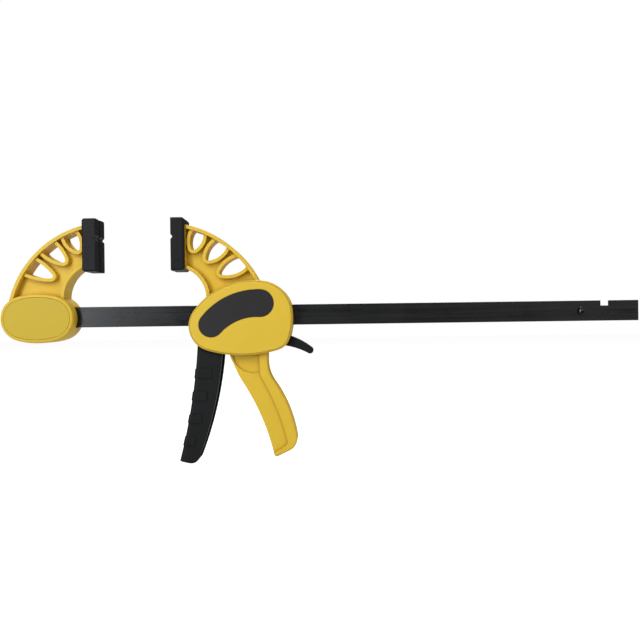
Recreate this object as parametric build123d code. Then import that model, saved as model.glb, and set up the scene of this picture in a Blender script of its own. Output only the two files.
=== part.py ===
from build123d import *
import math
import os

os.makedirs("parts", exist_ok=True)

# One-handed quick release bar clamp, in millimetres. The origin is the middle of the fixed
# jaw's clamping face, X runs along the bar towards its free end, Y goes from the front side
# to the rear side, and Z is up, from the bar towards the jaws.

# Fits
sliding_fit = 0.25         # each side, between parts that move on each other
seat_fit = 0.15            # each side, between parts that stay put
pivot_fit = 0.1            # each side, between a pin and its bore
press_fit = 0.01           # each side, between the bar and its stop pin
swing_gap = 0.6            # around a part that swings
spring_gap = 0.1           # between a spring and what it pushes on

# Building
overcut = 1.0              # how far a cut runs past the face that it opens
overlap = 0.5              # how far a joined piece runs into its neighbour
match = 0.01               # how close two lengths are that count as the same

# Bar and its stop pin
bar_height = 17.0
bar_thickness = 5.5
bar_drop = 59.3            # centre of the pads down to the centreline of the bar
bar_overhang = 69.5        # bar behind the fixed jaw's clamping face
bar_edge_radius = 0.5
notch_width = 8.5
notch_depth = 4.3
bar_beyond_pin = 47.4      # middle of the stop pin to the bar's free end
notch_inset = 23.1         # bar end to the near side of its notch
opening_length = 300.0     # widest opening between the pads
rest_opening = 62.2        # opening with the joints at rest
pin_diameter = 6.5
pin_wall = 1.1
pin_slot = 1.4
pin_stand_out = 2.2        # stop pin beyond each side of the bar

# Jaw pads
pad_depth = 11.0
pad_width = 26.0
pad_top = 22.1
pad_bottom = 21.8
pad_wall = 4.3
pad_corner_radius = 1.6
pad_back_chamfer = 1.5
face_groove_width = 5.0
face_groove_depth = 2.4
cross_groove_width = 4.2
cross_groove_depth = 1.7
cross_groove_height = 6.0  # above the middle of the face
pad_grip = 6.4             # length of the arm's nose inside the pad
nose_inset = 1.4           # nose inside the arm's own height
gate_mark = (-6.4, -13.2)  # dimple left by the mould in the front of a pad
gate_mark_diameter = 1.2
gate_mark_depth = 0.4

# Jaw arms
arm_width = 18.0
flange = 3.0
web = 5.5
rib = 2.7
rib_across = 15.0          # from the front of a rib to the back of its twin
arm_edge_radius = 1.0
window_corner = 1.3
# each arm: the radius of its outer and inner arc, and how far behind and below the middle of
# the clamping face they are centred; then for each window its far and near angle on the outer
# arc, its tip behind and above that middle, and the radius of its tip and of its sides
fixed_arm = {
    "outer": (84.5, -9.0, 65.3),
    "inner": (27.7, -0.6, 43.6),
    "windows": (
        (25.9, 20.1, 16.7, -2.0, 2.4, 17.0),
        (41.2, 34.2, 28.5, -11.7, 2.2, 31.0),
        (56.9, 49.2, 38.8, -24.8, 2.0, 49.0),
    ),
}
moving_arm = {
    "outer": (88.6, -7.4, 70.2),
    "inner": (25.7, 2.4, 44.4),
    "windows": (
        (22.7, 17.9, 18.0, -2.6, 2.2, 15.0),
        (37.5, 31.8, 30.0, -11.5, 2.2, 19.0),
        (52.8, 46.6, 41.1, -23.6, 2.0, 23.0),
    ),
}

# Fixed jaw base and its push button
base_setback = 48.6        # clamping face back to the middle of the base
base_drop = 0.7            # bar's line down to the middle of the base
base_corners = ((-11.6, 0.0, 18.7), (11.6, 0.0, 18.7))
base_sides = (60.0, 60.0)
base_thickness = 26.4
base_edge_radius = 2.5
button_rim = 2.9           # rim of the base around the button
button_thickness = 2.4
button_travel = 6.0
button_leg_width = 12.0
button_leg_height = 5.0
catch_thickness = 5.0
catch_seat = 3.0           # catch inside the button's leg
button_web = 1.2           # wall between the button's room and the bar
hook_height = 1.6
hook_thickness = 1.5
button_spring_diameter = 6.0
button_spring_wire = 0.8
button_spring_turns = 6
button_spring_drop = 13.6  # centreline of the bar down to the button's spring
spring_pocket = 8.5        # depth of the spring's bore in the base

# Moving head: outlines are corner circles (behind the face, above the bar's line, radius)
# and the radii of the sides between them, below 0 where a side is hollow
head_corners = ((35.0, -8.6, 21.0), (83.2, -15.2, 14.4), (72.0, 0.9, 27.6))
head_sides = (100.8, 54.8, 60.8)
head_thickness = 30.0
head_edge_radius = 2.5
head_wall = 3.0
cover_inset = 1.2
cover_thickness = 2.5
badge_corners = ((32.8, -7.7, 10.3), (73.0, 9.6, 11.4))
badge_sides = (-40.3, 59.5)
badge_thickness = 0.8
badge_recess = 0.6
guide_length = 9.0         # of each bar guide
guide_above = 13.0
guide_below = 12.5
screw_places = ((20.6, -12.6), (61.8, 21.8), (88.2, 15.0), (64.2, -24.4))
screw_diameter = 2.5
screw_head_diameter = 4.6
screw_head_height = 1.6
screw_sink = 0.4           # screw head below the rear face
screw_bite = 0.9           # screw inside the front cover's plate
screw_post_diameter = 5.2
screw_post_height = 3.0
pin_socket_wall = 1.8
pin_socket_height = 1.5
pin_seat = 1.5             # pins inside the rear wall

# Pistol grip
grip_corners = (
    (45.3, -30.0, 0.0),
    (118.0, -17.3, 71.7),
    (84.8, -115.3, 2.2),
    (90.5, -102.2, 11.7),
    (107.9, -38.2, -29.5),
    (78.5, -27.0, 0.0),
)
grip_sides = (None, -187.5, None, 108.6, None, None)
grip_width = 18.0
grip_web = 14.0
grip_edge_radius = 1.8
hollow_back = 76.0         # lower end of the line between the web and the raised band
hollow_corners = (
    (-40.0, -118.8, 0.0),
    (hollow_back, -118.8, 0.0),
    (89.6, -105.0, 4.5),
    (82.0, -47.0, -10.0),
    (71.0, -26.0, 0.0),
    (-40.0, -26.0, 0.0),
)
hollow_sides = (None, None, 200.0, None, None, None)
relief_web = 11.0          # grip where the trigger's cheeks pass
relief_centre = (67.0, -30.0)
relief_radius = 18.5

# Trigger
trigger_pivot = (44.3, 13.3)
trigger_pin_diameter = 4.4
trigger_swing = 26.0       # degrees
trigger_boss_radius = 5.0
trigger_shoulder = (20.7, -19.0)
trigger_toe = (4.6, -119.8)
trigger_heel = (14.4, -114.9, 7.0)
trigger_throat = (41.7, -24.0)
trigger_front_radius = 505.0
trigger_back_radius = 312.0
trigger_width = 20.0
trigger_wall = 2.5
trigger_front_wall = 3.0
trigger_front_edge = 2.6
trigger_nose_radius = 5.2
trigger_nose_gap = 0.5     # bar to each side of the trigger's nose
# each raised pad: its top and bottom below the bar's line, and its depth from the front
grip_pads = (
    (-43.9, -51.7, 17.6),
    (-62.7, -70.0, 15.8),
    (-81.9, -88.5, 14.0),
    (-100.0, -106.9, 11.0),
)
grip_pad_height = 0.5
trigger_rib_heights = (-74.0, -90.0, -105.0)
trigger_rib_depth = 6.0
trigger_rib = 1.8
throat_gap = 5.2           # opening behind the trigger at rest
throat_top = 3.0           # top of that opening above the trigger's shoulder
throat_bottom = -33.5      # its lower end, clear of the housing
throat_depth = 10.0        # trigger's back below its throat that swings into the housing

# Drive plates and their spring
plate_thickness = 3.0
plate_width = 13.6
plate_above = 17.0         # bar's line up to the top of a drive plate
plate_below = 15.6
plate_gap = 0.3
plate_bore_slack = 0.5     # each side of the bar, in height
plate_corner_radius = 2.0
spring_diameter = 21.8
spring_wire = 1.3
spring_wall = 2.5          # wall that the drive spring pushes on
drive_spring_length = 12.0
drive_spring_turns = 3
brake_spring_turns = 2

# Brake plate, its spring and the release lever
brake_seat = (79.3, 17.3)
brake_tilt = 6.0           # degrees, at rest
brake_length = 31.0
brake_width = 16.0
lever_pivot = (88.3, -20.2)
lever_swing = 16.0         # degrees
lever_pin_diameter = 3.6
lever_boss_radius = 4.9
lever_width = 13.0
lever_tip = (113.5, -29.9, 2.8)
lever_under_radius = 60.0
lever_top_radius = 62.0
lever_edge_radius = 1.2
lever_arm_top = -18.2
lever_arm_bottom = -22.4
lever_prong = 3.0
lever_prong_top = -10.6
lever_prong_gap = 0.7      # bar to each prong

# Derived places
bar_z = -bar_drop
bar_left = -bar_overhang
half_bar = bar_height / 2
half_bar_thickness = bar_thickness / 2
front_y = -head_thickness / 2
rear_y = head_thickness / 2
cover_y = front_y + cover_thickness
inside_y = rear_y - head_wall
plate_x = trigger_pivot[0] + trigger_nose_radius + plate_gap
plates_back = plate_x + 2 * plate_thickness + plate_gap
spring_wall_x = plates_back + drive_spring_length
head_back = max(x + radius for x, z, radius in head_corners)
pin_x = opening_length + head_back + pin_diameter / 2 + sliding_fit
bar_right = pin_x + bar_beyond_pin
pivots = ((trigger_pivot, trigger_pin_diameter), (lever_pivot, lever_pin_diameter))


def tangent_side(first, second, radius):
    """The two ends and the centre of a side that touches two corner circles."""
    x1, z1, r1 = first
    x2, z2, r2 = second
    span = math.hypot(x2 - x1, z2 - z1)
    ux = (x2 - x1) / span
    uz = (z2 - z1) / span
    if radius is None:
        turn = math.asin((r2 - r1) / span)
        tx = ux * math.cos(turn) + uz * math.sin(turn)
        tz = uz * math.cos(turn) - ux * math.sin(turn)
        return (x1 + r1 * tz, z1 - r1 * tx), (x2 + r2 * tz, z2 - r2 * tx), None
    reach1 = radius - r1
    reach2 = radius - r2
    along = (reach1**2 - reach2**2 + span**2) / (2 * span)
    away = math.copysign(math.sqrt(reach1**2 - along**2), radius)
    cx = x1 + ux * along - uz * away
    cz = z1 + uz * along + ux * away
    start = (x1 - r1 * (cx - x1) / reach1, z1 - r1 * (cz - z1) / reach1)
    end = (x2 - r2 * (cx - x2) / reach2, z2 - r2 * (cz - z2) / reach2)
    return start, end, (cx, cz)


def arc_between(centre, radius, start, end):
    """An arc, anticlockwise about its centre for a radius above 0 and clockwise below 0."""
    angle1 = math.atan2(start[1] - centre[1], start[0] - centre[0])
    angle2 = math.atan2(end[1] - centre[1], end[0] - centre[0])
    sweep = (angle2 - angle1) % (2 * math.pi)
    if radius < 0:
        sweep -= 2 * math.pi
    middle = angle1 + sweep / 2
    size = abs(radius)
    top = (centre[0] + size * math.cos(middle), centre[1] + size * math.sin(middle))
    return ThreePointArc(start, top, end)


def outline(corners, sides):
    """A closed face of corner circles, taken anticlockwise, joined by tangent sides."""
    count = len(corners)
    runs = [tangent_side(corners[i], corners[(i + 1) % count], sides[i]) for i in range(count)]
    edges = []
    for i, (x, z, radius) in enumerate(corners):
        if radius:
            edges.append(arc_between((x, z), radius, runs[i - 1][1], runs[i][0]))
        start, end, centre = runs[i]
        if centre is None:
            edges.append(Line(start, end))
        else:
            edges.append(arc_between(centre, sides[i], start, end))
    return make_face(edges)


def grown(corners, sides, amount):
    """The parallel outline that lies further out by an amount."""
    bigger = [(x, z, radius + amount) for x, z, radius in corners]
    return outline(bigger, [side if side is None else side + amount for side in sides])


def slab(face, y_front, y_back):
    """A solid between two depths, with its outline drawn in X and Z."""
    return Pos(0, y_back, 0) * extrude(Plane.XZ * face, amount=y_back - y_front)


def block(x1, x2, y1, y2, z1, z2):
    """A box between two corners."""
    size = Box(x2 - x1, y2 - y1, z2 - z1)
    return Pos((x1 + x2) / 2, (y1 + y2) / 2, (z1 + z2) / 2) * size


def cross_pin(x, z, diameter, y1, y2):
    """A round bar along Y."""
    return Pos(x, (y1 + y2) / 2, z) * Rot(90, 0, 0) * Cylinder(diameter / 2, y2 - y1)


def coil(diameter, wire, length, turns):
    """A compression spring along Z, from 0 to its length."""
    radius = (diameter - wire) / 2
    rise = length - wire
    path = Pos(0, 0, wire / 2) * Helix(rise / turns, rise, radius)
    section = Plane(path @ 0, z_dir=path % 0) * Circle(wire / 2)
    return sweep(section, path)


def face_rims(solid, half, shortest=0.0):
    """The edges of a solid's two flat side faces, longer than a length."""
    rims = solid.edges().filter_by(lambda edge: abs(abs(edge.center().Y) - half) < match)
    return rims.filter_by(lambda edge: edge.length > shortest)


def to_head(shape):
    """Carries a shape from the moving clamping face and the bar's line to its place."""
    return Pos(rest_opening, 0, bar_z) * shape


def make_bar():
    top = bar_z + half_bar
    side = half_bar_thickness
    bar = block(bar_left, bar_right, -side, side, bar_z - half_bar, top)
    bar = fillet(bar.edges().filter_by(Axis.X), bar_edge_radius)
    for inward, end in ((1, bar_left), (-1, bar_right)):
        near = end + inward * notch_inset
        far = near + inward * notch_width
        left, right = sorted((near, far))
        bar -= block(left, right, -bar_thickness, bar_thickness, top - notch_depth, top + overcut)
    return bar - cross_pin(pin_x, bar_z, pin_diameter, -bar_thickness, bar_thickness)


def make_stop_pin():
    reach = half_bar_thickness + pin_stand_out
    pin = cross_pin(pin_x, bar_z, pin_diameter - 2 * press_fit, -reach, reach)
    pin -= cross_pin(pin_x, bar_z, pin_diameter - 2 * pin_wall, -reach, reach)
    slot = block(pin_x, pin_x + pin_diameter, -reach, reach, bar_z - pin_slot / 2, bar_z + pin_slot / 2)
    return pin - slot


def make_pad(arm):
    """A soft cap over the nose of an arm, drawn for the fixed jaw."""
    half = pad_width / 2
    pad = block(-pad_depth, 0, -half, half, -pad_bottom, pad_top)
    corners = pad.edges().filter_by(Axis.X)
    pad = fillet(corners, pad_corner_radius)
    back = pad.faces().sort_by(Axis.X)[0]
    pad = chamfer(back.edges(), pad_back_chamfer)
    side = face_groove_width / 2
    points = ((0, -side), (-face_groove_depth, 0), (0, side), (overcut, 0))
    upright = extrude(make_face(Polyline(*points, close=True)), amount=pad_bottom + pad_top)
    pad -= Pos(0, 0, -pad_bottom) * upright
    side = cross_groove_width / 2
    height = cross_groove_height
    points = ((0, height - side), (overcut, height), (0, height + side), (-cross_groove_depth, height))
    pad -= slab(make_face(Polyline(*points, close=True)), -half, half)
    mark_x, mark_z = gate_mark
    pad -= cross_pin(mark_x, mark_z, gate_mark_diameter, -half - overcut, -half + gate_mark_depth)
    room = arm_width / 2 + seat_fit
    low, high = nose_heights(arm)
    return pad - block(-pad_depth - overcut, -pad_wall, -room, room, low - seat_fit, high + seat_fit)


def arc_height(arc):
    """Height of an arm's arc where it crosses the back of the pad."""
    radius, behind, below = arc
    return math.sqrt(radius**2 - (pad_depth - behind) ** 2) - below


def nose_heights(arm):
    """Bottom and top of the arm's nose."""
    return arc_height(arm["inner"]) + nose_inset, arc_height(arm["outer"]) - nose_inset


def window_outline(arm, window):
    """Corner circles and sides of one window, with its flat side along the outer flange."""
    radius, behind, below = arm["outer"]
    far_angle, near_angle, tip_back, tip_height, tip_radius, side_radius = window
    inner_edge = radius - flange
    reach = inner_edge - window_corner
    corners = []
    for angle in (near_angle, far_angle):
        turn = math.radians(angle)
        corners.append((-behind - reach * math.sin(turn), reach * math.cos(turn) - below, window_corner))
    corners.append((-tip_back, tip_height, tip_radius))
    return corners, [inner_edge, side_radius, side_radius]


def arm_face(arm, shrink):
    """The arm between its two arcs, with both pulled in by an amount."""
    radius, behind, below = arm["outer"]
    inner_radius, inner_behind, inner_below = arm["inner"]
    outer = Pos(-behind, -below) * Circle(radius - shrink)
    inner = Pos(-inner_behind, -inner_below) * Circle(inner_radius + shrink)
    reach = 2 * radius
    region = Pos(-pad_depth - reach / 2, bar_z + reach / 2) * Rectangle(reach, reach)
    return (outer & region) - inner


def make_arm(arm):
    """A jaw arm with flanges, a web and ribbed windows, drawn for the fixed jaw."""
    half = arm_width / 2
    solid = slab(arm_face(arm, 0), -half, half)
    solid = fillet(face_rims(solid, half).filter_by(GeomType.CIRCLE), arm_edge_radius)
    for side in (-1, 1):
        front, back = sorted((side * web / 2, side * arm_width))
        solid -= slab(arm_face(arm, flange), front, back)
    for window in arm["windows"]:
        corners, sides = window_outline(arm, window)
        solid += slab(grown(corners, sides, rib), -rib_across / 2, rib_across / 2)
    for window in arm["windows"]:
        solid -= slab(outline(*window_outline(arm, window)), -half, half)
    low, high = nose_heights(arm)
    return solid + block(-pad_depth - overlap, -pad_depth + pad_grip, -half, half, low, high)


def base_face(shrink):
    """The oval of the fixed jaw's base, pulled in by an amount."""
    return Pos(-base_setback, bar_z - base_drop) * grown(base_corners, base_sides, -shrink)


def base_form():
    """The oval base before anything is cut out of it."""
    half = base_thickness / 2
    form = slab(base_face(0), -half, half)
    return fillet(face_rims(form, half), base_edge_radius)


def notch_span(clearance):
    """The two sides of the left notch, each pulled in by a clearance."""
    near = bar_left + notch_inset
    return near + clearance, near + notch_width - clearance


def leg_box(grow, y_front, y_back, extra_height=0.0):
    """The button's leg above the bar, or the room for it when grown."""
    middle = sum(notch_span(0)) / 2
    half = button_leg_width / 2 + grow
    bottom = bar_z + half_bar + 2 * sliding_fit
    top = bottom + button_leg_height + extra_height
    return block(middle - half, middle + half, y_front, y_back, bottom - grow, top + grow)


def make_fixed_jaw():
    half = base_thickness / 2
    floor_y = -half_bar_thickness - sliding_fit - button_web
    jaw = make_arm(fixed_arm) + base_form()
    slot_half = half_bar + sliding_fit
    side = half_bar_thickness + sliding_fit
    jaw -= block(bar_left - sliding_fit, 0, -side, side, bar_z - slot_half, bar_z + slot_half)
    jaw -= slab(base_face(button_rim - sliding_fit), -half - overcut, floor_y)
    leg_end = catch_thickness / 2 + hook_thickness
    leg_reach = leg_end + button_travel + swing_gap
    jaw -= leg_box(sliding_fit, floor_y - overcut, leg_reach)
    hook_start = catch_thickness / 2
    jaw -= leg_box(sliding_fit, hook_start - sliding_fit, leg_reach, hook_height)
    x1, x2 = notch_span(0)
    notch_floor = bar_z + half_bar - notch_depth
    catch_reach = catch_thickness / 2 + button_travel + swing_gap
    jaw -= block(x1, x2, 0, catch_reach, notch_floor, bar_z + half_bar + overcut)
    spring_z = bar_z - button_spring_drop
    bore = button_spring_diameter + 2 * swing_gap
    return jaw - cross_pin(-base_setback, spring_z, bore, floor_y - overcut, floor_y + spring_pocket)


def make_push_button():
    """An oval plate in the rim of the base, with a hooked leg that carries the catch."""
    half = base_thickness / 2
    plate_back = -half + button_thickness
    button = base_form() & slab(base_face(button_rim), -half, plate_back)
    leg_end = catch_thickness / 2 + hook_thickness
    button += leg_box(0, plate_back - overlap, leg_end)
    button += leg_box(0, catch_thickness / 2, leg_end, hook_height)
    return button - catch_block(seat_fit)


def catch_block(grow):
    """The steel block that fills the bar's notch, or its seat when grown."""
    x1, x2 = notch_span(sliding_fit)
    low = bar_z + half_bar - notch_depth + sliding_fit
    high = bar_z + half_bar + 2 * sliding_fit + catch_seat
    deep = catch_thickness / 2
    return block(x1 - grow, x2 + grow, -deep - grow, deep + grow, low - grow, high + grow)


def make_button_spring():
    start = -base_thickness / 2 + button_thickness
    end = -half_bar_thickness - sliding_fit - button_web + spring_pocket
    length = end - start - 2 * spring_gap
    spring = coil(button_spring_diameter, button_spring_wire, length, button_spring_turns)
    return Pos(-base_setback, start + spring_gap, bar_z - button_spring_drop) * Rot(-90, 0, 0) * spring


def head_form():
    """The head's closed oval before anything is cut out of it."""
    form = slab(outline(head_corners, head_sides), front_y, rear_y)
    return fillet(face_rims(form, rear_y), head_edge_radius)


def cover_face(gap):
    """The front cover's outline inside the head's rim, pulled in by a gap."""
    return grown(head_corners, head_sides, -cover_inset - gap)


def make_grip():
    """The pistol grip with a raised band down its back and a thinner web in front of it."""
    half = grip_width / 2
    grip = slab(outline(grip_corners, grip_sides), -half, half)
    back_rims = face_rims(grip, half, grip_width).filter_by(lambda edge: edge.center().X > hollow_back)
    grip = fillet(back_rims, grip_edge_radius)
    hollow = outline(hollow_corners, hollow_sides)
    relief = hollow & Pos(*relief_centre) * Circle(relief_radius)
    for face, thickness in ((hollow, grip_web), (relief, relief_web)):
        for side in (-1, 1):
            front, back = sorted((side * thickness / 2, side * grip_width))
            grip -= slab(face, front, back)
    return grip


def inside_wall(x1, x2, z1, z2):
    """A wall that fills the housing between two lengths and two heights."""
    area = Pos((x1 + x2) / 2, (z1 + z2) / 2) * Rectangle(x2 - x1, z2 - z1)
    room = grown(head_corners, head_sides, -head_wall / 2)
    return slab(area & room, cover_y + seat_fit, inside_y + head_wall / 2)


def make_brake_seat():
    """The block that holds the top of the brake plate, with the slot that it tips in."""
    x, z = brake_seat
    half = plate_thickness / 2
    low = z - half
    seat = inside_wall(x - 3 * half, x + 3 * half, low, 2 * head_back)
    slot = half + swing_gap
    return seat - block(x - slot, x + slot, front_y, inside_y, low - overcut, z + half + sliding_fit)


def make_head_body():
    """Arm, open oval housing and pistol grip in one moulding, closed at the rear."""
    head_front = min(x - radius for x, z, radius in head_corners)
    tall = 2 * head_back
    body = Pos(0, 0, bar_drop) * mirror(make_arm(moving_arm), Plane.YZ)
    body += head_form()
    body += make_grip()
    body -= slab(grown(head_corners, head_sides, -head_wall), cover_y - overcut, inside_y)
    body -= slab(cover_face(0), front_y - overcut, cover_y)
    body += inside_wall(head_front, head_front + guide_length, -guide_below, guide_above)
    body += inside_wall(head_back - guide_length, head_back, -guide_below, guide_above)
    body += inside_wall(spring_wall_x, spring_wall_x + spring_wall, -tall, tall)
    body += make_brake_seat()
    post_end = cover_y + screw_post_height
    for x, z in screw_places:
        body += cross_pin(x, z, screw_post_diameter, post_end, inside_y + overlap)
        body -= cross_pin(x, z, screw_post_diameter + 2 * sliding_fit, front_y, post_end + seat_fit)
        body -= cross_pin(x, z, screw_diameter + 2 * seat_fit, front_y, rear_y)
        sunk = rear_y - screw_sink - screw_head_height
        body -= cross_pin(x, z, screw_head_diameter + 2 * seat_fit, sunk, rear_y + overcut)
    side = half_bar_thickness + sliding_fit
    tall_slot = half_bar + sliding_fit
    body -= block(0, tall, -side, side, -tall_slot, tall_slot)
    body -= throat_room()
    tail = lever_width / 2 + swing_gap
    boss_left = lever_pivot[0] - lever_boss_radius - swing_gap
    body -= block(boss_left, tall, -tail, tail, lever_pivot[1] - lever_room(), -guide_below - overcut)
    for place, diameter in pivots:
        socket = diameter + 2 * (pin_socket_wall + seat_fit)
        body -= cross_pin(*place, socket, front_y, cover_y + pin_socket_height + seat_fit)
        body -= cross_pin(*place, diameter + 2 * pivot_fit, 0, inside_y + pin_seat)
    return to_head(body)


def lever_room():
    """How far the opening for the release lever runs below its pivot, for the tip's swing."""
    turn = math.radians(lever_swing)
    x, z, radius = lever_tip
    fall = (x - lever_pivot[0]) * math.sin(turn) + (lever_pivot[1] - z) * math.cos(turn)
    return fall + radius + 2 * swing_gap


def throat_room():
    """The opening under the housing that the trigger hangs in and swings through."""
    cheek = trigger_width / 2 + swing_gap
    top = trigger_shoulder[1] + throat_top
    middle = trigger_throat[0] + throat_gap
    room = block(trigger_shoulder[0] - swing_gap, middle, -cheek, cheek, throat_bottom, top)
    turn = math.radians(trigger_swing)
    drop = trigger_pivot[1] - trigger_throat[1] + throat_depth
    back = trigger_pivot[0] - trigger_throat[0]
    swung = trigger_pivot[0] + drop * math.sin(turn) - back * math.cos(turn)
    for side in (-1, 1):
        front, back = sorted((side * relief_web / 2, side * cheek))
        room += block(middle - overlap, swung + 2 * swing_gap, front, back, throat_bottom, top)
    return room


def make_front_cover():
    """The oval lid of the housing, with its screw posts, pin sockets and the badge's recess."""
    cover = head_form() & slab(cover_face(seat_fit), front_y, cover_y)
    cover -= slab(outline(badge_corners, badge_sides), front_y - overcut, front_y + badge_recess)
    for x, z in screw_places:
        cover += cross_pin(x, z, screw_post_diameter, cover_y - overlap, cover_y + screw_post_height)
        cover -= cross_pin(x, z, screw_diameter + 2 * pivot_fit, cover_y - screw_bite - seat_fit, 0)
    for place, diameter in pivots:
        socket_end = cover_y + pin_socket_height
        cover += cross_pin(*place, diameter + 2 * pin_socket_wall, cover_y - overlap, socket_end)
        cover -= cross_pin(*place, diameter + 2 * pivot_fit, cover_y, socket_end)
    return to_head(cover)


def make_badge():
    """The blank plate let into the front cover."""
    back = front_y + badge_recess
    return to_head(slab(grown(badge_corners, badge_sides, -seat_fit), back - badge_thickness, back))


def make_cover_screws():
    """The screws that hold the front cover from the rear."""
    screws = []
    for x, z in screw_places:
        head_end = rear_y - screw_sink
        screw = cross_pin(x, z, screw_head_diameter, head_end - screw_head_height, head_end)
        screw += cross_pin(x, z, screw_diameter, cover_y - screw_bite, head_end - overlap)
        screws.append(to_head(screw))
    return Compound(children=screws)


def make_pivot_pin(place, diameter):
    return to_head(cross_pin(*place, diameter, cover_y + seat_fit, inside_y + pin_seat - seat_fit))


def make_trigger():
    """A channel with two cheeks that straddle the bar and carry the nose below their pivot."""
    half = trigger_width / 2
    inner = half - trigger_wall
    handle_corners = ((*trigger_shoulder, 0), (*trigger_toe, 0), trigger_heel, (*trigger_throat, 0))
    handle_sides = (-trigger_front_radius, None, trigger_back_radius, None)
    handle = slab(outline(handle_corners, handle_sides), -half, half)
    rims = face_rims(handle, half, trigger_width)
    arcs = rims.filter_by(GeomType.CIRCLE)
    front = arcs.filter_by(lambda edge: abs(edge.radius - trigger_front_radius) < match)
    handle = fillet(front, trigger_front_edge)
    handle += make_grip_pads(handle_corners, handle_sides, half)
    cheek_corners = ((*trigger_pivot, trigger_boss_radius), (*trigger_shoulder, 0), (*trigger_throat, 0))
    trigger = handle + slab(outline(cheek_corners, (None, None, None)), -half, half)
    hollow = Pos(trigger_front_wall, trigger_wall) * outline(handle_corners, handle_sides)
    trigger -= slab(hollow, -inner, inner)
    trigger -= block(0, head_back, -inner, inner, trigger_shoulder[1], head_back)
    inside = outline(handle_corners, handle_sides)
    rib_area = inside - Pos(trigger_front_wall + trigger_rib_depth, 0) * inside
    for height in trigger_rib_heights:
        band = Pos(head_back / 2, height) * Rectangle(head_back, trigger_rib)
        trigger += slab(rib_area & band, -inner, inner)
    gap = half_bar_thickness + trigger_nose_gap
    for side in (-1, 1):
        front, back = sorted((side * gap, side * (inner + overlap)))
        trigger += cross_pin(trigger_pivot[0], 0, 2 * trigger_nose_radius, front, back)
    trigger -= cross_pin(*trigger_pivot, trigger_pin_diameter + 2 * pivot_fit, -half, half)
    return to_head(trigger)


def make_grip_pads(corners, sides, half):
    """Raised pads that wrap the front of the trigger."""
    proud = Pos(-grip_pad_height, 0) * outline(corners, sides)
    pads = slab(proud, -half - grip_pad_height, half + grip_pad_height)
    rims = face_rims(pads, half + grip_pad_height, 2 * half)
    pads = fillet(rims.sort_by(Axis.X)[:2], trigger_front_edge)
    bands = []
    for top, bottom, depth in grip_pads:
        share = (top + bottom) / 2 / trigger_toe[1]
        front = trigger_shoulder[0] + (trigger_toe[0] - trigger_shoulder[0]) * share
        bands.append(block(front - depth, front + depth, -2 * half, 2 * half, bottom, top))
    return pads & Compound(children=bands)


def make_drive_plate(order):
    """One of the steel plates that bite the bar when the trigger pushes them."""
    x = plate_x + order * (plate_thickness + plate_gap)
    half = plate_width / 2
    plate = block(x, x + plate_thickness, -half, half, -plate_below, plate_above)
    plate = fillet(plate.edges().filter_by(Axis.X), plate_corner_radius)
    side = half_bar_thickness + sliding_fit
    tall = half_bar + plate_bore_slack
    return to_head(plate - block(x, x + plate_thickness, -side, side, -tall, tall))


def make_brake_plate():
    """The tilted steel plate that stops the head sliding back."""
    x, z = brake_seat
    half = brake_width / 2
    thick = plate_thickness / 2
    plate = block(-thick, thick, -half, half, -brake_length, 0)
    plate += cross_pin(0, 0, plate_thickness, -half, half)
    side = half_bar_thickness + sliding_fit
    tall = half_bar + plate_bore_slack
    middle = -z / math.cos(math.radians(brake_tilt))
    plate -= block(-plate_thickness, plate_thickness, -side, side, middle - tall, middle + tall)
    return to_head(Pos(x, 0, z) * Rot(0, brake_tilt, 0) * plate)


def make_release_lever():
    """The lever whose forked inner end pushes the brake plate upright."""
    half = lever_width / 2
    boss = (*lever_pivot, lever_boss_radius)
    lever = slab(outline((boss, lever_tip), (-lever_under_radius, lever_top_radius)), -half, half)
    lever = fillet(face_rims(lever, half), lever_edge_radius)
    tilt = math.tan(math.radians(brake_tilt))
    plate_face = brake_seat[0] - (brake_seat[1] - lever_prong_top) * tilt - plate_thickness / 2
    right = plate_face - plate_gap
    left = right - lever_prong
    lever += block(left, lever_pivot[0], -half, half, lever_arm_bottom, lever_arm_top)
    middle = (left + right) / 2
    prong_top = lever_prong_top - lever_prong / 2
    lever += block(left, right, -half, half, lever_arm_bottom, prong_top)
    lever += cross_pin(middle, prong_top, lever_prong, -half, half)
    gap = half_bar_thickness + lever_prong_gap
    lever -= block(left, right + overcut, -gap, gap, lever_arm_top, 0)
    lever -= cross_pin(*lever_pivot, lever_pin_diameter + 2 * pivot_fit, -half, half)
    return to_head(lever)


def make_drive_spring():
    length = drive_spring_length - 2 * spring_gap
    spring = coil(spring_diameter, spring_wire, length, drive_spring_turns)
    return to_head(Pos(plates_back + spring_gap, 0, 0) * Rot(0, 90, 0) * spring)


def make_brake_spring():
    start = brake_seat[0] + plate_thickness / 2 + swing_gap
    length = head_back - guide_length - spring_gap - start
    spring = coil(spring_diameter, spring_wire, length, brake_spring_turns)
    return to_head(Pos(start, 0, 0) * Rot(0, 90, 0) * spring)


def main():
    moving_pad = mirror(make_pad(moving_arm), Plane.YZ)
    parts = {
        "bar": make_bar(),
        "stop_pin": make_stop_pin(),
        "fixed_jaw": make_fixed_jaw(),
        "fixed_jaw_pad": make_pad(fixed_arm),
        "push_button": make_push_button(),
        "jaw_catch": catch_block(0),
        "button_spring": make_button_spring(),
        "head_body": make_head_body(),
        "front_cover": make_front_cover(),
        "badge": make_badge(),
        "cover_screws": make_cover_screws(),
        "moving_jaw_pad": Pos(rest_opening, 0, 0) * moving_pad,
        "trigger": make_trigger(),
        "trigger_pin": make_pivot_pin(trigger_pivot, trigger_pin_diameter),
        "drive_plate_front": make_drive_plate(0),
        "drive_plate_rear": make_drive_plate(1),
        "drive_spring": make_drive_spring(),
        "brake_plate": make_brake_plate(),
        "brake_spring": make_brake_spring(),
        "release_lever": make_release_lever(),
        "release_pin": make_pivot_pin(lever_pivot, lever_pin_diameter),
    }
    for name, shape in parts.items():
        export_step(shape, f"parts/{name}.step")


main()
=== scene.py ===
import math

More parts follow.
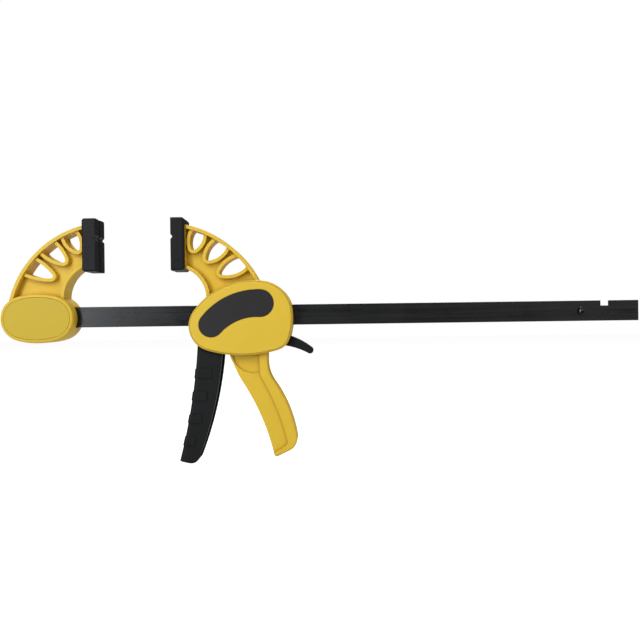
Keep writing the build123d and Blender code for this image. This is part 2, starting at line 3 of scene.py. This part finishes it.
import bpy
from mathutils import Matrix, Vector


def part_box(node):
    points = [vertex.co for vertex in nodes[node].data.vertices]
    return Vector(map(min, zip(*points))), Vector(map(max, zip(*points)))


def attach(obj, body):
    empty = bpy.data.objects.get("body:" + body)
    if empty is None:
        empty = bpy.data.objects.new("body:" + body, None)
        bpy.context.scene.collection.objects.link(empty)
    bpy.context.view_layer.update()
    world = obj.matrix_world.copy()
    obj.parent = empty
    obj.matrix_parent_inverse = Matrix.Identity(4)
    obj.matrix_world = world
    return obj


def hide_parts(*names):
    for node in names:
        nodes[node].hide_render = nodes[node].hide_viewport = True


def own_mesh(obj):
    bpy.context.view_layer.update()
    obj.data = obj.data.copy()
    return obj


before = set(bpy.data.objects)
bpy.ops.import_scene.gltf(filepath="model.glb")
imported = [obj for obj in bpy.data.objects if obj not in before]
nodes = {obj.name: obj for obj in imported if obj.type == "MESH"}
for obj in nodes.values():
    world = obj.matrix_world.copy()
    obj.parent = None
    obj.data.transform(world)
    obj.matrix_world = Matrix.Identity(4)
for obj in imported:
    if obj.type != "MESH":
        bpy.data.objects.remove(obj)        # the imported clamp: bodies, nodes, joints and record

scene = bpy.context.scene
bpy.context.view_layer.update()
print("frame loaded:", len(nodes), "nodes")


def groupTree(name, inputs, outputs):
    # a shader group with named sockets, and its input and output nodes
    tree = bpy.data.node_groups.new(name, "ShaderNodeTree")
    for label, kind, value in inputs:
        socket = tree.interface.new_socket(name=label, in_out="INPUT", socket_type=kind)
        if value is not None:
            socket.default_value = value
    for label, kind in outputs:
        tree.interface.new_socket(name=label, in_out="OUTPUT", socket_type=kind)
    start = tree.nodes.new("NodeGroupInput")
    end = tree.nodes.new("NodeGroupOutput")
    return tree, start, end


def addNode(tree, kind, settings=None, values=None):
    node = tree.nodes.new(kind)
    for key, value in (settings or {}).items():
        setattr(node, key, value)
    for key, value in (values or {}).items():
        node.inputs[key].default_value = value
    return node


def mathNode(tree, operation, first, second=None, clamp=False):
    # first and second are numbers or sockets
    node = addNode(tree, "ShaderNodeMath", {"operation": operation, "use_clamp": clamp})
    for place, value in enumerate((first, second)):
        if value is None:
            continue
        if isinstance(value, (int, float)):
            node.inputs[place].default_value = value
        else:
            tree.links.new(value, node.inputs[place])
    return node.outputs[0]


def mixColors(tree, factor, first, second):
    node = addNode(tree, "ShaderNodeMix", {"data_type": "RGBA"})
    for place, value in ((0, factor), (6, first), (7, second)):
        if hasattr(value, "links"):
            tree.links.new(value, node.inputs[place])
        elif value is not None:
            node.inputs[place].default_value = value
    return node.outputs[2]


def spread(tree, value, low, high, newLow=0.0, newHigh=1.0):
    node = addNode(tree, "ShaderNodeMapRange", {"clamp": True})
    tree.links.new(value, node.inputs["Value"])
    for key, number in (("From Min", low), ("From Max", high), ("To Min", newLow), ("To Max", newHigh)):
        node.inputs[key].default_value = number
    return node.outputs["Result"]


print("node tools ready")


bevelSamples = 4               # rays for each rounded edge
cornerSamples = 6              # rays for each corner's shade
noiseSpan = (0.35, 0.65)       # nearly all of a noise's values lie between these
cloudShare = 0.7               # of the change of tone that is slow, the rest is fine dust
dustFineness = 9.0             # how much finer the dust is than the clouds
waveShare = 0.03               # how often a mould's slow waves come, against the cells of its grain
edgeTurn = (0.995, 0.90)       # cosines of the turned normal: rubbing and painted edge light start, and are full
openShare = 0.95               # light from all round above which a point lies in the open


def makeMottle():
    # slow change of tone over a moulding, with a little dust in it
    tree, start, end = groupTree("mouldedTone", [
        ("Vector", "NodeSocketVector", None),
        ("Color", "NodeSocketColor", (0.8, 0.8, 0.8, 1)),
        ("Tone", "NodeSocketFloat", 0.06),
        ("Size", "NodeSocketFloat", 60.0),
        ("Rough Low", "NodeSocketFloat", 0.35),
        ("Rough High", "NodeSocketFloat", 0.45),
    ], [("Color", "NodeSocketColor"), ("Roughness", "NodeSocketFloat")])
    cloud = addNode(tree, "ShaderNodeTexNoise", None, {"Detail": 4.0, "Roughness": 0.55})
    tree.links.new(start.outputs["Vector"], cloud.inputs["Vector"])
    tree.links.new(start.outputs["Size"], cloud.inputs["Scale"])
    fine = addNode(tree, "ShaderNodeTexNoise", None, {"Detail": 3.0, "Roughness": 0.7})
    tree.links.new(start.outputs["Vector"], fine.inputs["Vector"])
    tree.links.new(mathNode(tree, "MULTIPLY", start.outputs["Size"], dustFineness), fine.inputs["Scale"])
    both = mathNode(tree, "ADD", mathNode(tree, "MULTIPLY", cloud.outputs["Fac"], cloudShare),
                    mathNode(tree, "MULTIPLY", fine.outputs["Fac"], 1 - cloudShare))
    swing = mathNode(tree, "MULTIPLY", mathNode(tree, "SUBTRACT", both, 0.5), 2.0)    # from -1 to 1
    value = mathNode(tree, "ADD", 1.0, mathNode(tree, "MULTIPLY", swing, start.outputs["Tone"]))
    shade = addNode(tree, "ShaderNodeHueSaturation")
    tree.links.new(start.outputs["Color"], shade.inputs["Color"])
    tree.links.new(value, shade.inputs["Value"])
    tree.links.new(shade.outputs["Color"], end.inputs["Color"])
    rough = addNode(tree, "ShaderNodeMapRange", {"clamp": True}, {
        "From Min": noiseSpan[0], "From Max": noiseSpan[1]})
    tree.links.new(both, rough.inputs["Value"])
    tree.links.new(start.outputs["Rough Low"], rough.inputs["To Min"])
    tree.links.new(start.outputs["Rough High"], rough.inputs["To Max"])
    tree.links.new(rough.outputs["Result"], end.inputs["Roughness"])
    return tree


def makeGrain():
    # the spark-eroded skin of a mould tool, as a height
    tree, start, end = groupTree("mouldGrain", [
        ("Vector", "NodeSocketVector", None),
        ("Size", "NodeSocketFloat", 1800.0),
        ("Sink", "NodeSocketFloat", 0.3),
    ], [("Height", "NodeSocketFloat")])
    cells = addNode(tree, "ShaderNodeTexVoronoi", {"feature": "SMOOTH_F1"}, {"Smoothness": 0.6})
    waves = addNode(tree, "ShaderNodeTexNoise", None, {"Detail": 2.0})
    for node, share in ((cells, 1.0), (waves, waveShare)):
        tree.links.new(start.outputs["Vector"], node.inputs["Vector"])
        tree.links.new(mathNode(tree, "MULTIPLY", start.outputs["Size"], share), node.inputs["Scale"])
    sink = mathNode(tree, "MULTIPLY", waves.outputs["Fac"], start.outputs["Sink"])
    tree.links.new(mathNode(tree, "ADD", cells.outputs["Distance"], sink), end.inputs["Height"])
    return tree


def makeEdges():
    # rubbed edges, with painted light on the mouldings: a highlight where the edge tone is lighter and
    # crease shade where it is darker; the mask is where the rounded normal leaves the flat one, broken up by
    # noise
    tree, start, end = groupTree("edgeWearAndShading", [
        ("Vector", "NodeSocketVector", None),
        ("Radius", "NodeSocketFloat", 0.0005),
        ("Breakup", "NodeSocketFloat", 400.0),
        ("Even", "NodeSocketFloat", 0.0),
        ("Amount", "NodeSocketFloat", 1.0),
    ], [("Mask", "NodeSocketFloat")])
    rounded = addNode(tree, "ShaderNodeBevel", {"samples": bevelSamples})
    tree.links.new(start.outputs["Radius"], rounded.inputs["Radius"])
    flat = addNode(tree, "ShaderNodeNewGeometry")
    dot = addNode(tree, "ShaderNodeVectorMath", {"operation": "DOT_PRODUCT"})
    tree.links.new(rounded.outputs["Normal"], dot.inputs[0])
    tree.links.new(flat.outputs["Normal"], dot.inputs[1])
    edge = spread(tree, dot.outputs["Value"], *edgeTurn)
    noise = addNode(tree, "ShaderNodeTexNoise", None, {"Detail": 5.0, "Roughness": 0.65})
    tree.links.new(start.outputs["Vector"], noise.inputs["Vector"])
    tree.links.new(start.outputs["Breakup"], noise.inputs["Scale"])
    patches = spread(tree, noise.outputs["Fac"], *noiseSpan)
    patchy = mathNode(tree, "MAXIMUM", patches, start.outputs["Even"])
    wornAndShaded = mathNode(tree, "MULTIPLY", edge, patchy)
    tree.links.new(mathNode(tree, "MULTIPLY", wornAndShaded, start.outputs["Amount"], clamp=True), end.inputs["Mask"])
    return tree


def makePaintedCornerShade():
    # how deep a point lies in a corner or recess, 0 in the open: the mask of the shade painted into recesses
    tree, start, end = groupTree("deepCorners", [
        ("Reach", "NodeSocketFloat", 0.006),
        ("Full", "NodeSocketFloat", 0.25),
        ("Strength", "NodeSocketFloat", 1.0),
    ], [("Mask", "NodeSocketFloat")])
    hidden = addNode(tree, "ShaderNodeAmbientOcclusion", {"samples": cornerSamples})
    tree.links.new(start.outputs["Reach"], hidden.inputs["Distance"])
    shut = addNode(tree, "ShaderNodeMapRange", {"clamp": True}, {"From Min": openShare})
    tree.links.new(hidden.outputs["AO"], shut.inputs["Value"])
    tree.links.new(start.outputs["Full"], shut.inputs["From Max"])
    # the mask for painted shade, scaled by its strength
    deep = mathNode(tree, "MULTIPLY", shut.outputs["Result"], start.outputs["Strength"], clamp=True)
    tree.links.new(deep, end.inputs["Mask"])
    return tree


def makeScratches():
    # long fine lines along one direction of a rolled or ground bar, as a value around a half
    tree, start, end = groupTree("rolledLines", [
        ("Vector", "NodeSocketVector", None),
        ("Stretch", "NodeSocketVector", (6.0, 900.0, 900.0)),
    ], [("Value", "NodeSocketFloat")])
    scaled = addNode(tree, "ShaderNodeVectorMath", {"operation": "MULTIPLY"})
    tree.links.new(start.outputs["Vector"], scaled.inputs[0])
    tree.links.new(start.outputs["Stretch"], scaled.inputs[1])
    lines = addNode(tree, "ShaderNodeTexNoise", None, {"Scale": 1.0, "Detail": 5.0, "Roughness": 0.6})
    tree.links.new(scaled.outputs["Vector"], lines.inputs["Vector"])
    tree.links.new(lines.outputs["Fac"], end.inputs["Value"])
    return tree


mottleGroup = makeMottle()
grainGroup = makeGrain()
# the group for rubbed edges that also carry painted highlight and crease shade
edgeWearShadingGroup = makeEdges()
# the group that paints shade into corners and recesses
cornerGroup = makePaintedCornerShade()
lineGroup = makeScratches()
print("effect groups made")


def startMaterial(name):
    material = bpy.data.materials.new(name)
    material.use_nodes = True
    tree = material.node_tree
    shader = next(node for node in tree.nodes if node.type == "BSDF_PRINCIPLED")
    place = addNode(tree, "ShaderNodeTexCoord").outputs["Object"]
    return material, tree, shader, place


def placeGroup(tree, group, place=None, values=None):
    node = addNode(tree, "ShaderNodeGroup", {"node_tree": group}, values)
    if place is not None:
        tree.links.new(place, node.inputs["Vector"])
    return node


def linkBump(tree, shader, height, depth, rounding):
    # depth in metres, and rounding is the radius that sharp edges seem to have
    bump = addNode(tree, "ShaderNodeBump", None, {"Strength": 1.0, "Distance": depth})
    tree.links.new(height, bump.inputs["Height"])
    edge = addNode(tree, "ShaderNodeBevel", {"samples": bevelSamples}, {"Radius": rounding})
    tree.links.new(edge.outputs["Normal"], bump.inputs["Normal"])
    tree.links.new(bump.outputs["Normal"], shader.inputs["Normal"])


# color is the fresh surface, followed by the shade painted into recesses and the tone of the edges,
# which is a painted highlight and wear where it is lighter, and a painted crease shade and wear where
# it is darker, on the cover and the button; reach, full and the strength of the painted shade say how far,
# how soon and how strongly recesses take it, edge is the radius of the rounded edges, and even and the
# amount of edge tone say how evenly and how much the edges are worn and painted
plasticLook = {
    "yellowNylon": {"color": (0.690, 0.455, 0.034), "deep": (0.42, 0.195, 0.006), "rubAndShading": (0.76, 0.56, 0.12),
                    "rough": (0.40, 0.52), "gloss": 0.26, "tone": 0.05, "grain": 0.000008, "edge": 0.0003,
                    "reach": 0.0030, "full": 0.50, "corner": 0.60, "even": 0.3, "wornAndShaded": 0.6},
    "yellowCover": {"color": (0.680, 0.458, 0.036), "deep": (0.46, 0.235, 0.010), "rubAndShading": (0.30, 0.17, 0.012),
                    "rough": (0.38, 0.48), "gloss": 0.28, "tone": 0.04, "grain": 0.000006, "edge": 0.0007,
                    "reach": 0.0030, "full": 0.25, "corner": 0.50, "even": 0.8, "wornAndShaded": 0.9},
    "yellowButton": {"color": (0.530, 0.372, 0.028), "deep": (0.30, 0.16, 0.010), "rubAndShading": (0.34, 0.22, 0.016),
                     "rough": (0.42, 0.52), "gloss": 0.20, "tone": 0.04, "grain": 0.000006, "edge": 0.0004,
                     "reach": 0.0020, "full": 0.25, "corner": 0.50, "even": 0.5, "wornAndShaded": 0.6},
    "blackNylon": {"color": (0.0105, 0.0112, 0.0114), "deep": (0.0010, 0.0010, 0.0010),
                   "rubAndShading": (0.060, 0.061, 0.064),
                   "rough": (0.34, 0.44), "gloss": 0.12, "tone": 0.10, "grain": 0.000010, "edge": 0.0004,
                   "reach": 0.0026, "full": 0.80, "corner": 1.0, "even": 0.6, "wornAndShaded": 0.6},
    "blackPad": {"color": (0.0110, 0.0118, 0.0124), "deep": (0.0012, 0.0012, 0.0012),
                 "rubAndShading": (0.085, 0.087, 0.092),
                 "rough": (0.36, 0.48), "gloss": 0.10, "tone": 0.12, "grain": 0.000012, "edge": 0.0004,
                 "reach": 0.0020, "full": 0.60, "corner": 1.0, "even": 0.5, "wornAndShaded": 0.7},
    "blackBadge": {"color": (0.0175, 0.0158, 0.0170), "deep": (0.006, 0.006, 0.006),
                   "rubAndShading": (0.05, 0.05, 0.05),
                   "rough": (0.42, 0.50), "gloss": 0.25, "tone": 0.06, "grain": 0.000005, "edge": 0.0002,
                   "reach": 0.0010, "full": 0.50, "corner": 0.60, "even": 0.2, "wornAndShaded": 0.4},
}
# what all the mouldings share: patches, gaps in rubbed edges and grain as counts to the metre,
# and sink, how much the slow waves of the mould move its grain
plasticSkin = {"patches": 45.0, "breakup": 350.0, "grain": 1600.0, "sink": 1.0}


def plasticMaterial(name):
    look = plasticLook[name]
    material, tree, shader, place = startMaterial(name)
    tone = placeGroup(tree, mottleGroup, place, {
        "Color": (*look["color"], 1), "Tone": look["tone"], "Size": plasticSkin["patches"],
        "Rough Low": look["rough"][0], "Rough High": look["rough"][1]})
    # shade painted into corners and recesses, darker where less light reaches them
    corner = placeGroup(tree, cornerGroup, None, {
        "Reach": look["reach"], "Full": look["full"], "Strength": look["corner"]})
    # edge tone: painted highlight and wear where lighter, painted crease shade and wear on the cover and the
    # button
    edgeWearShading = placeGroup(tree, edgeWearShadingGroup, place, {
        "Radius": look["edge"], "Breakup": plasticSkin["breakup"],
        "Even": look["even"], "Amount": look["wornAndShaded"]})
    shaded = mixColors(tree, corner.outputs["Mask"], tone.outputs["Color"], (*look["deep"], 1))
    wornAndShaded = mixColors(tree, edgeWearShading.outputs["Mask"], shaded, (*look["rubAndShading"], 1))
    tree.links.new(wornAndShaded, shader.inputs["Base Color"])
    tree.links.new(tone.outputs["Roughness"], shader.inputs["Roughness"])
    grain = placeGroup(tree, grainGroup, place, {"Size": plasticSkin["grain"], "Sink": plasticSkin["sink"]})
    linkBump(tree, shader, grain.outputs["Height"], look["grain"], look["edge"])
    shader.inputs["Specular IOR Level"].default_value = look["gloss"]
    return material


# bare is the metal on rubbed edges, and stretch gives how often its lines come along X, Y and Z
steelLook = {
    "blackSteel": {"color": (0.0030, 0.0033, 0.0036), "bare": (0.08, 0.08, 0.084), "metal": 0.15,
                   "rough": (0.27, 0.37), "edge": 0.0004, "rubAndShading": 0.5, "stretch": (7.0, 380.0, 380.0),
                   "lineRough": 0.5},
    "zincSteel": {"color": (0.20, 0.20, 0.205), "bare": (0.35, 0.35, 0.35), "metal": 0.9,
                  "rough": (0.34, 0.50), "edge": 0.0003, "rubAndShading": 0.7, "stretch": (300.0, 40.0, 300.0),
                  "lineRough": 0.25},
    "darkPin": {"color": (0.0060, 0.0062, 0.0066), "bare": (0.06, 0.06, 0.062), "metal": 0.3,
                "rough": (0.34, 0.46), "edge": 0.0002, "rubAndShading": 0.4, "stretch": (300.0, 40.0, 300.0),
                "lineRough": 0.25},
    "brightSteel": {"color": (0.42, 0.42, 0.43), "bare": (0.6, 0.6, 0.6), "metal": 1.0,
                    "rough": (0.22, 0.36), "edge": 0.0003, "rubAndShading": 0.6, "stretch": (600.0, 30.0, 600.0),
                    "lineRough": 0.25},
    "hardenedSteel": {"color": (0.17, 0.165, 0.16), "bare": (0.42, 0.41, 0.40), "metal": 1.0,
                      "rough": (0.32, 0.48), "edge": 0.0004, "rubAndShading": 0.8, "stretch": (60.0, 60.0, 500.0),
                      "lineRough": 0.25},
    "springSteel": {"color": (0.30, 0.30, 0.31), "bare": (0.5, 0.5, 0.5), "metal": 1.0,
                    "rough": (0.25, 0.38), "edge": 0.0001, "rubAndShading": 0.2, "stretch": (200.0, 200.0, 200.0),
                    "lineRough": 0.25},
}
# what all the steels share: the lines between low and high turn into streaks from dark to light
steelSkin = {
    "tone": 0.20, "patches": 35.0, "breakup": 260.0, "lineDepth": 0.000006,
    "lineLow": 0.3, "lineHigh": 0.7, "streakDark": 0.82, "streakLight": 1.18,
}


def steelMaterial(name):
    look = steelLook[name]
    material, tree, shader, place = startMaterial(name)
    lines = placeGroup(tree, lineGroup, place, {"Stretch": look["stretch"]})
    tone = placeGroup(tree, mottleGroup, place, {
        "Color": (*look["color"], 1), "Tone": steelSkin["tone"], "Size": steelSkin["patches"],
        "Rough Low": look["rough"][0], "Rough High": look["rough"][1]})
    streak = spread(tree, lines.outputs["Value"], steelSkin["lineLow"], steelSkin["lineHigh"],
                    steelSkin["streakDark"], steelSkin["streakLight"])
    streaked = addNode(tree, "ShaderNodeHueSaturation")
    tree.links.new(tone.outputs["Color"], streaked.inputs["Color"])
    tree.links.new(streak, streaked.inputs["Value"])
    edgeWearShading = placeGroup(tree, edgeWearShadingGroup, place, {
        "Radius": look["edge"], "Breakup": steelSkin["breakup"], "Amount": look["rubAndShading"]})
    wornAndShaded = mixColors(tree, edgeWearShading.outputs["Mask"], streaked.outputs["Color"], (*look["bare"], 1))
    tree.links.new(wornAndShaded, shader.inputs["Base Color"])
    swing = mathNode(tree, "SUBTRACT", lines.outputs["Value"], 0.5)    # around nought
    lineRough = mathNode(tree, "MULTIPLY", swing, look["lineRough"])
    tree.links.new(mathNode(tree, "ADD", tone.outputs["Roughness"], lineRough), shader.inputs["Roughness"])
    linkBump(tree, shader, lines.outputs["Value"], steelSkin["lineDepth"], look["edge"])
    shader.inputs["Metallic"].default_value = look["metal"]
    return material


materials = {name: plasticMaterial(name) for name in plasticLook}
materials.update({name: steelMaterial(name) for name in steelLook})

finishOf = {
    "bar": "blackSteel", "stop_pin": "darkPin", "fixed_jaw": "yellowNylon", "fixed_jaw_pad": "blackPad",
    "push_button": "yellowButton", "jaw_catch": "brightSteel", "button_spring": "springSteel",
    "head_body": "yellowNylon", "front_cover": "yellowCover", "badge": "blackBadge",
    "cover_screws": "zincSteel", "moving_jaw_pad": "blackPad", "trigger": "blackNylon",
    "trigger_pin": "brightSteel", "drive_plate_front": "hardenedSteel", "drive_plate_rear": "hardenedSteel",
    "drive_spring": "springSteel", "brake_plate": "hardenedSteel", "brake_spring": "springSteel",
    "release_lever": "blackNylon", "release_pin": "brightSteel",
}


def dressNodes():
    for name, finish in finishOf.items():
        node = nodes[name]
        node.data.materials.clear()
        node.data.materials.append(materials[finish])


dressNodes()
print("materials made and put on", len(finishOf), "nodes")


smoothAngle = math.radians(50)    # sharper folds than this stay sharp


def finishMesh():
    # turns all faces of the active piece outwards and shades it smooth
    bpy.ops.object.mode_set(mode="EDIT")
    bpy.ops.mesh.select_all(action="SELECT")
    bpy.ops.mesh.normals_make_consistent(inside=False)
    bpy.ops.object.mode_set(mode="OBJECT")
    bpy.ops.object.shade_smooth_by_angle(angle=smoothAngle)


# the two springs that a moving part presses flat; along is the axis they lie on, fixedEnd their still end
buttonSpring = {
    "name": "buttonSpring", "node": "button_spring", "body": "fixed_side", "joint": "button_press",
    "along": 1, "turn": (-90, 0, 0), "fixedEnd": 0.0043, "outer": 0.0060, "wire": 0.0008, "turns": 6,
}
driveSpring = {
    "name": "driveSpring", "node": "drive_spring", "body": "head", "joint": "drive_plates_slide",
    "along": 0, "turn": (0, 90, 0), "fixedEnd": 0.1303, "outer": 0.0218, "wire": 0.0013, "turns": 3,
}
wireSides = 12    # round the wire
turnSteps = 48    # round each turn of the coil


def windSpring(look):
    # a ring of wire swept round into a coil, its ends filled, then laid where the CAD spring is
    low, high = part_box(look["node"])
    along, wire = look["along"], look["wire"]
    length = high[along] - low[along]
    bpy.ops.object.select_all(action="DESELECT")
    bpy.ops.mesh.primitive_circle_add(
        vertices=wireSides, radius=wire / 2, location=((look["outer"] - wire) / 2, 0, 0),
        rotation=(math.radians(90), 0, 0))
    spring = bpy.context.object
    spring.name = spring.data.name = look["name"]
    bpy.ops.object.transform_apply(location=True, rotation=True, scale=True)
    coil = spring.modifiers.new("coil", "SCREW")
    coil.steps = coil.render_steps = turnSteps
    coil.iterations = look["turns"]
    coil.screw_offset = (length - wire) / look["turns"]
    bpy.ops.object.modifier_apply(modifier=coil.name)
    bpy.ops.object.mode_set(mode="EDIT")
    bpy.ops.mesh.select_all(action="SELECT")
    bpy.ops.mesh.remove_doubles(threshold=wire / 100)    # far less than a side of the wire
    bpy.ops.mesh.fill_holes(sides=0)
    bpy.ops.object.mode_set(mode="OBJECT")
    finishMesh()
    place = [(near + far) / 2 for near, far in zip(low, high)]
    place[along] = low[along] + wire / 2
    spring.location = place
    spring.rotation_euler = [math.radians(angle) for angle in look["turn"]]
    bpy.ops.object.transform_apply(location=True, rotation=True, scale=True)
    spring.data.materials.append(materials[finishOf[look["node"]]])
    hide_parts(look["node"])
    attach(spring, look["body"])
    return spring


def pressSpring(spring, look):
    # works out the axis it lies on and its still end, and gives it a mesh of its own
    axis, anchor = [0.0, 0.0, 0.0], [0.0, 0.0, 0.0]
    axis[look["along"]] = 1.0
    anchor[look["along"]] = look["fixedEnd"]
    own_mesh(spring)


for look in (buttonSpring, driveSpring):
    pressSpring(windSpring(look), look)
print("springs wound: buttonSpring and driveSpring")


# a strip of spring steel rolled up tightly, so that its middle is nearly closed
stopPin = {
    "name": "stopPin", "node": "stop_pin", "body": "fixed_side",
    "strip": 0.00042, "gap": 0.00004, "turns": 2.25, "steps": 108,
}


def rollStopPin(look):
    # one edge of a plane swept round the pin's axis, drawn in turn by turn and given its thickness
    low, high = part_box(look["node"])
    outer = (high[2] - low[2]) / 2
    half = (high[1] - low[1]) / 2
    bpy.ops.object.select_all(action="DESELECT")
    bpy.ops.mesh.primitive_plane_add(size=2 * half)
    pin = bpy.context.object
    pin.name = pin.data.name = look["name"]
    bpy.ops.object.mode_set(mode="EDIT")
    bpy.ops.mesh.select_all(action="DESELECT")
    bpy.ops.object.mode_set(mode="OBJECT")
    for point in pin.data.vertices:
        point.select = point.co.x < 0
    bpy.ops.object.mode_set(mode="EDIT")
    bpy.ops.mesh.delete(type="VERT")
    bpy.ops.object.mode_set(mode="OBJECT")
    roll = pin.modifiers.new("roll", "SCREW")
    roll.axis = "Y"
    roll.angle = 2 * math.pi * look["turns"]
    roll.steps = roll.render_steps = look["steps"]
    bpy.ops.object.modifier_apply(modifier=roll.name)
    for point in pin.data.vertices:    # two points at each step of the sweep
        turned = point.index // 2 / look["steps"] * look["turns"]
        radius = outer - look["strip"] / 2 - turned * (look["strip"] + look["gap"])
        point.co.x *= radius / half
        point.co.z *= radius / half
    wall = pin.modifiers.new("wall", "SOLIDIFY")
    wall.thickness = look["strip"]
    wall.offset = 0
    bpy.ops.object.modifier_apply(modifier=wall.name)
    finishMesh()
    pin.location = (high[0] - outer, (low[1] + high[1]) / 2, (low[2] + high[2]) / 2)
    bpy.ops.object.transform_apply(location=True, rotation=True, scale=True)
    pin.data.materials.append(materials[finishOf[look["node"]]])
    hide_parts(look["node"])
    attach(pin, look["body"])


rollStopPin(stopPin)
print("stop pin rolled")


# floorShown and worldShown are what the camera sees, floorGlow and worldLight what they light the clamp with
studio = {
    "floorHeight": -0.1812, "floorSize": 8.0, "floorColor": (0.45, 0.45, 0.45, 1), "floorRough": 0.9,
    "floorShown": 0.92, "floorGlow": 0.16, "worldShown": 1.0, "worldLight": 0.10,
    "cameraPlace": (0.18425, -0.578, -0.06417), "cameraRoll": 0.753, "lens": 38.706, "sensor": 36.0,
}
# each light: place, aim, width, height, watts, color
lights = {
    "keyLight": ((-0.45, -0.95, 0.85), (0.12, 0, -0.05), 0.7, 0.7, 9.9, (1.0, 0.985, 0.96)),
    "sideLight": ((-0.56, -1.06, 0.10), (0.05, 0, -0.04), 0.30, 0.8, 7.4, (0.88, 0.94, 1.0)),
    "fillLight": ((0.95, -0.9, 0.45), (0.22, 0, -0.06), 1.0, 0.8, 3.8, (1.0, 1.0, 1.0)),
    "endLight": ((1.45, -0.35, 0.45), (0.05, 0, -0.04), 0.8, 0.8, 2.0, (1.0, 0.94, 0.84)),
    "rearLight": ((0.30, 0.95, 1.25), (0.18, 0, -0.06), 1.2, 0.8, 20.0, (1.0, 1.0, 1.0)),
}


def makeFloor():
    bpy.ops.mesh.primitive_plane_add(size=studio["floorSize"], location=(0, 0, studio["floorHeight"]))
    floor = bpy.context.object
    floor.name = "paleFloor"
    material = bpy.data.materials.new("paleFloor")
    material.use_nodes = True
    shader = material.node_tree.nodes["Principled BSDF"]
    shader.inputs["Base Color"].default_value = studio["floorColor"]
    shader.inputs["Roughness"].default_value = studio["floorRough"]
    shader.inputs["Emission Color"].default_value = (1, 1, 1, 1)
    tree = material.node_tree
    path = tree.nodes.new("ShaderNodeLightPath")
    glow = addNode(tree, "ShaderNodeMapRange", None, {
        "To Min": studio["floorGlow"], "To Max": studio["floorShown"]})
    tree.links.new(path.outputs["Is Camera Ray"], glow.inputs["Value"])
    tree.links.new(glow.outputs["Result"], shader.inputs["Emission Strength"])
    floor.data.materials.append(material)


def makeWorld():
    world = bpy.data.worlds.new("paleRoom")
    scene.world = world
    world.use_nodes = True
    tree = world.node_tree
    tree.nodes.clear()
    path = tree.nodes.new("ShaderNodeLightPath")
    strength = addNode(tree, "ShaderNodeMapRange", None, {
        "To Min": studio["worldLight"], "To Max": studio["worldShown"]})
    tree.links.new(path.outputs["Is Camera Ray"], strength.inputs["Value"])
    back = tree.nodes.new("ShaderNodeBackground")
    back.inputs["Color"].default_value = (1, 1, 1, 1)
    tree.links.new(strength.outputs["Result"], back.inputs["Strength"])
    end = tree.nodes.new("ShaderNodeOutputWorld")
    tree.links.new(back.outputs["Background"], end.inputs["Surface"])


def makeLights():
    for name, (place, aim, width, height, watts, color) in lights.items():
        data = bpy.data.lights.new(name, "AREA")
        data.shape = "RECTANGLE"
        data.size = width
        data.size_y = height
        data.energy = watts
        data.color = color
        lamp = bpy.data.objects.new(name, data)
        scene.collection.objects.link(lamp)
        lamp.location = place
        lamp.rotation_euler = (Vector(aim) - Vector(place)).to_track_quat("-Z", "Y").to_euler()


def makeCamera():
    data = bpy.data.cameras.new("camera")
    data.sensor_width = studio["sensor"]
    data.lens = studio["lens"]
    camera = bpy.data.objects.new("camera", data)
    scene.collection.objects.link(camera)
    camera.location = studio["cameraPlace"]
    camera.rotation_euler = (math.radians(90), math.radians(studio["cameraRoll"]), 0)
    scene.camera = camera


bpy.ops.object.select_all(action="DESELECT")
makeFloor()
makeWorld()
makeLights()
makeCamera()
scene.view_settings.view_transform = "Standard"
print("studio ready")
